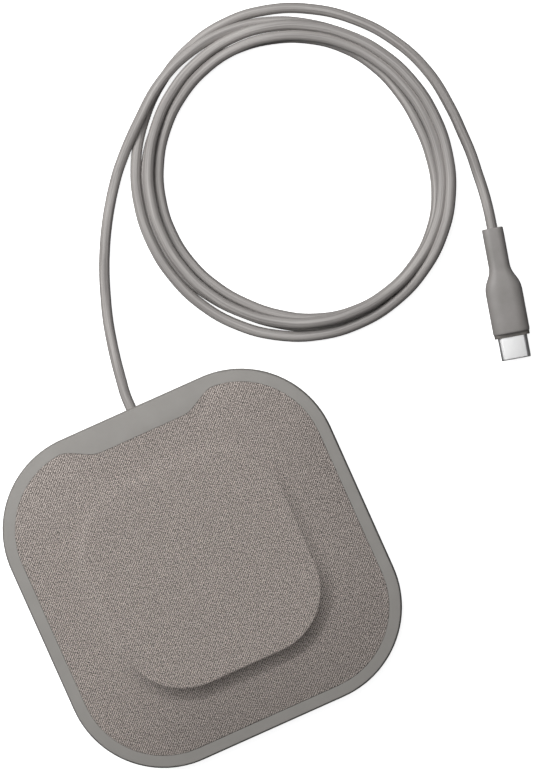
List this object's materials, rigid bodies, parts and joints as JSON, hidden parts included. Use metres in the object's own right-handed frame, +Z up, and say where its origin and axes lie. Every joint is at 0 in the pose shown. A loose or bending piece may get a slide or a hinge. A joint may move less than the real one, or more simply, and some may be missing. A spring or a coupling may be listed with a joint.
{
  "type": "wireless charging pad",
  "caption": "Rounded square wireless charging pad with a fabric top, a raised charging platform and a coiled captive lead ending in a USB-C plug.",
  "frame": {"origin": "on the table, below the middle of the pad without its free lead", "axes": "+Z up through the pad's thickness, +Y towards the edge the lead leaves from, +X to the right"},
  "size_m": [0.1671, 0.1878, 0.0122],
  "materials": {
    "casing": "fine satin moulded plastic, light warm grey",
    "fabric": "fine woven melange fabric bonded to the cover",
    "foot_rubber": "matt silicone",
    "screw_steel": "zinc-plated steel",
    "board": "green solder mask on glass epoxy",
    "foam": "closed-cell foam",
    "ferrite": "sintered ferrite, dark grey",
    "copper": "enamelled copper litz",
    "chip": "moulded chip package",
    "ceramic": "ceramic chip capacitor",
    "inductor": "pressed iron-powder inductor",
    "cord_jacket": "matt warm grey lead jacket",
    "grommet": "soft rubber, warm grey",
    "nylon": "natural nylon",
    "wire_red": "insulated hook-up wire",
    "plug_mould": "satin overmould, warm grey",
    "shell_steel": "polished stainless steel",
    "insulator": "black moulding",
    "gold": "gold-plated contact springs"
  },
  "bodies": {
    "root": {"base_shell": "casing", "top_cover": "casing", "fabric_top": "fabric", "foot_ring": "foot_rubber", "base_screws": "screw_steel", "main_board": "board", "board_screws": "screw_steel", "foam_pad": "foam", "ferrite_plate": "ferrite", "charging_coil": "copper", "coil_leads": "copper", "thermistor": "chip", "controller_chip": "chip", "power_mosfets": "chip", "resonant_capacitors": "ceramic", "bulk_capacitors": "ceramic", "filter_inductor": "inductor", "cord_grommet": "grommet", "cord_clamp": "nylon", "clamp_screws": "screw_steel", "cord_inner": "cord_jacket", "cord_wires": "wire_red", "cord_pad_lead": "cord_jacket", "cord_coil": "cord_jacket", "cord_plug_lead": "cord_jacket", "plug_grip": "plug_mould", "plug_collar": "plug_mould", "plug_shell": "shell_steel", "plug_insulator": "insulator", "plug_contacts": "gold", "plug_board": "board"}
  },
  "joints": []
}
